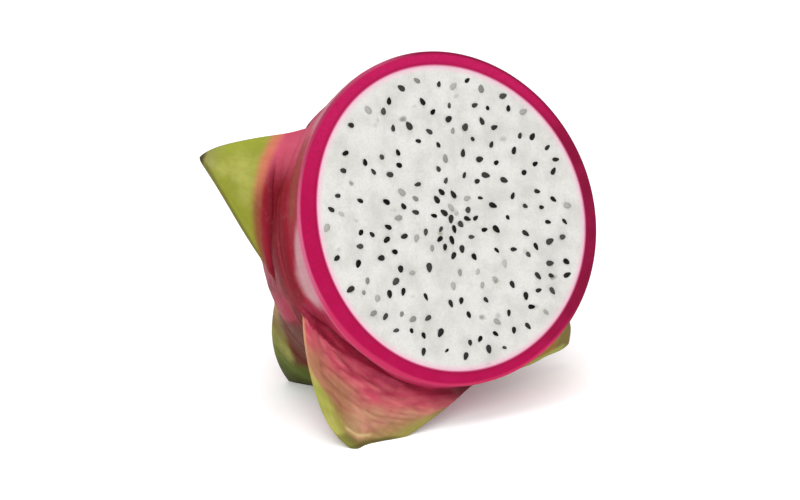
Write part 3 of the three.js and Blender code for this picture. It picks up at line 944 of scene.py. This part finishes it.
def finish_peel(peel, sources):
    """Softens the seams, presses the folds in, and stores what the materials read."""
    mesh = peel.data
    points = points_of(mesh)
    tags = tags_of(points, sources)
    moved, gap = soften_seams(mesh, points, tags[:, 0])
    mesh.vertices.foreach_set("co", (moved * MM).ravel())
    mesh.update()
    at = Place(moved, tags, gap)
    deep, dark = folds_of(at)
    moved = moved - deep[:, None] * rows_of(mesh.vertices, "normal")
    mesh.vertices.foreach_set("co", (moved * MM).ravel())

    grain = np.stack([tags[:, 1], tags[:, 2] * 12, tags[:, 0] * 5], -1)
    grain = np.where((at.part == 0)[:, None], np.stack([at.y, at.arc, 0 * at.arc], -1), grain)
    vector_attribute(mesh, "grain", grain)
    point_attribute(mesh, "tint", peel_colours(at, dark))
    point_attribute(mesh, "from_flesh", past_rim(moved))
    inside = skin_at(np.radians(at.turn), 0 * at.y) - at.radius
    point_attribute(mesh, "from_skin", inside / table(at.turn, RING_EDGE_WIDTH))
    # The ring's outer edge: painted light and painted shade that follow the angle, and a painted pink-red
    # highlight low on the front, as though the edge were rounded.
    lit = np.interp(at.turn, [90, 105, 130, 150, 175, 200, 215], [0, 0.5, 0.2, 0.25, 0.8, 0.7, 0])
    edge = blend(blend(RING_SHADED, RING_LIT, lit), shade(204, 54, 98), span(at.turn, 190, 208, 300, 325))
    point_attribute(mesh, "ring_edge", edge)
    # The ring's own magenta, with painted shade towards the right and painted light at the top.
    right, top = (np.cos(np.radians(at.turn - middle)) for middle in (350, 95))
    ring_with_shade = blend(RING, shade(130, 8, 52), ease(right, 0.45, 0.95))
    point_attribute(mesh, "ring_shade_and_light", blend(ring_with_shade, shade(196, 22, 90), ease(top, 0.3, 0.8)))
    mark_cut_faces(mesh)


def mark_cut_faces(mesh):
    """Gives the peel its two materials: the skin's, and the cut's on the faces that lie on the cut."""
    mesh.materials.clear()
    mesh.materials.append(skin_material())
    mesh.materials.append(cut_material())
    centres, normals = rows_of(mesh.polygons, "center"), rows_of(mesh.polygons, "normal")
    cut = (centres[:, 1] < 0.12 * MM) & (normals[:, 1] < -0.5)
    mesh.polygons.foreach_set("material_index", cut.astype(np.int32))
    mesh.shade_smooth()
    mesh.set_sharp_from_angle(angle=SHARP)
    mesh.update()


# ---- Flesh and seeds ----
def build_flesh(count=CUP_ROUND):
    """The flesh, almost flush with the ring and finely uneven on the cut."""
    angle = turns_of(count)
    full = rim_radius(angle) + 0.06
    rings = []
    for share in np.concatenate([np.linspace(0.01, 0.94, 84), np.linspace(0.95, 1.0, 10)]):
        around = around_axis(angle, full * share, 0, FLESH_SHIFT)
        grainy = 0.05 * rough(around, 2.2) + 0.05 * rough(around, 0.8, 3.0)
        around[:, 1] = 0.03 + (0.03 + grainy) * fall(share, 0.9, 0.99)
        rings.append(around)
    for along in np.sin(np.linspace(0.03, 0.97, 16) * np.pi / 2):
        depth = (FLESH_DEPTH + GAP) * along
        radius = flesh_radius(angle, depth, GAP - 0.1)
        rings.append(around_axis(angle, radius, depth, flesh_shift(along)))
    points, faces = lathe(rings)
    flesh = mesh_object("flesh_pulp", points, faces)
    point_attribute(flesh.data, "from_rim", -past_rim(points))
    flesh.data.materials.append(flesh_material())
    flesh.data.shade_smooth()
    flesh.data.set_sharp_from_angle(angle=SHARP)
    return flesh


def random_stream(seed):
    while True:
        seed = (seed * RANDOM_STEP) % RANDOM_RANGE
        yield seed / RANDOM_RANGE


def seed_places():
    """The same places as the seeds of the CAD."""
    draw = random_stream(RANDOM_SEED)
    places = []
    for _ in range(SEED_TRIES):
        angle, share, wobble, room = next(draw) * 2 * math.pi, next(draw), next(draw) - 0.5, next(draw)
        radius = (FLESH_RADIUS - SEED_EDGE) * share**0.62
        x = radius * math.cos(angle) + FLESH_SHIFT[0]
        z = radius * math.sin(angle) + FLESH_SHIFT[1]
        gap = SEED_CORE if radius < SEED_CORE_RADIUS else mix(SEED_NEAR, SEED_FAR, room)
        if all(math.hypot(p[0] - x, p[1] - z) > gap for p in places):
            places.append((x, z, angle + 2 * wobble))
    return places


def build_seeds():
    """Drop-shaped seeds, each part sunk in the flesh and no two quite alike."""
    draw = random_stream(RANDOM_SEED + 1)
    points, faces, veils = [], [], []
    for x, z, turn in seed_places():
        size, sink = mix(0.78, 1.14, next(draw)), mix(-0.05, 0.26, next(draw) ** 2)
        lean = mix(-0.3, 0.3, next(draw))
        cover = next(draw)
        veil = mix(0.4, 0.9, next(draw)) if cover < SEEDS_VEILED else 0.12 * next(draw) ** 2
        rings = []
        for i in range(1, SEED_ROWS):
            along = -math.cos(math.pi * i / SEED_ROWS)
            plump = math.sqrt(1 - along**2) * (1 - SEED_TAPER * along) * 0.98
            around = np.linspace(0, 2 * np.pi, SEED_ROUND, endpoint=False)
            rings.append(np.stack([
                np.full(SEED_ROUND, along * SEED_LENGTH / 2),
                -SEED_FLAT * plump * np.cos(around),
                SEED_WIDTH / 2 * plump * np.sin(around),
            ], -1))
        drop, sides = lathe(rings)
        drop[-2, 0], drop[-1, 0] = -SEED_LENGTH / 2, SEED_LENGTH / 2
        place = Matrix.Translation((x, sink + 0.02, z))
        place = place @ Matrix.Rotation(-turn, 4, "Y") @ Matrix.Rotation(lean, 4, "Z")
        turned = np.array(place)[:3, :3] @ (drop * size * [1, 1, mix(0.8, 1.05, next(draw))]).T
        veils.append(np.full(len(drop), veil))
        faces += [[corner + len(points) * len(drop) for corner in side] for side in sides]
        points.append(turned.T + np.array(place.translation))
    seeds = mesh_object("seeds", np.concatenate(points), faces)
    point_attribute(seeds.data, "veil", np.concatenate(veils))
    seeds.data.materials.append(seed_material())
    seeds.data.shade_smooth()
    return seeds


# ---- The whole ----
peel, peel_sources = build_peel()
finish_peel(peel, peel_sources)
pieces = {"peel": peel, "flesh": build_flesh(), "seeds": build_seeds()}
for slot_name, piece in pieces.items():
    vector_attribute(piece.data, "spot", points_of(piece.data))
    piece.data.transform(LIE)
bpy.context.view_layer.update()
for slot_name, piece in pieces.items():
    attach(piece, "root")
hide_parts("peel")
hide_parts("flesh")


# ---- Floor, light and camera ----
def build_floor():
    floor = box_object("floor", (-FLOOR_SIDE, -FLOOR_SIDE, -FLOOR_THICK), (FLOOR_SIDE, FLOOR_SIDE, 0))
    floor.data.materials.append(floor_material())


def area_light(name, place, aim, size, power):
    lamp = bpy.data.lights.new(name, "AREA")
    lamp.shape, lamp.size, lamp.energy = "DISK", size, power
    made = bpy.data.objects.new(name, lamp)
    bpy.context.scene.collection.objects.link(made)
    made.location = place
    made.rotation_euler = (Vector(aim) - Vector(place)).to_track_quat("-Z", "Y").to_euler()


def build_camera(azimuth=-30.8, elevation=16.0, distance=1.3, lens=226.0, aside=-0.0127, above=-0.0077):
    """The photograph's camera. It aims a little left of the cut's centre and below it."""
    turn, rise = math.radians(azimuth), math.radians(elevation)
    back = Vector((math.sin(turn) * math.cos(rise), -math.cos(turn) * math.cos(rise), math.sin(rise)))
    right = Vector((math.cos(turn), math.sin(turn), 0))
    up = right.cross(-back)
    aim = cut_centre + right * aside + up * above
    camera = bpy.data.objects.new("camera", bpy.data.cameras.new("camera"))
    bpy.context.scene.collection.objects.link(camera)
    camera.location = aim + back * distance
    camera.rotation_euler = (-back).to_track_quat("-Z", "Y").to_euler()
    camera.data.lens = lens
    camera.data.clip_start, camera.data.clip_end = 0.01, 50
    bpy.context.scene.camera = camera


def build_light():
    world = bpy.data.worlds.new("studio")
    world.use_nodes = True
    sky = world.node_tree.nodes["Background"]
    sky.inputs["Color"].default_value, sky.inputs["Strength"].default_value = (1, 1, 1, 1), 0.8
    bpy.context.scene.world = world
    area_light("overhead", (-0.25, -0.2, 1.5), (0, 0, 0.04), 1.3, 9)
    area_light("key", (-0.8, -1.2, 0.8), (0, 0, 0.05), 1.0, 16)
    bpy.context.scene.view_settings.view_transform = "Standard"


build_floor()
build_light()
build_camera()
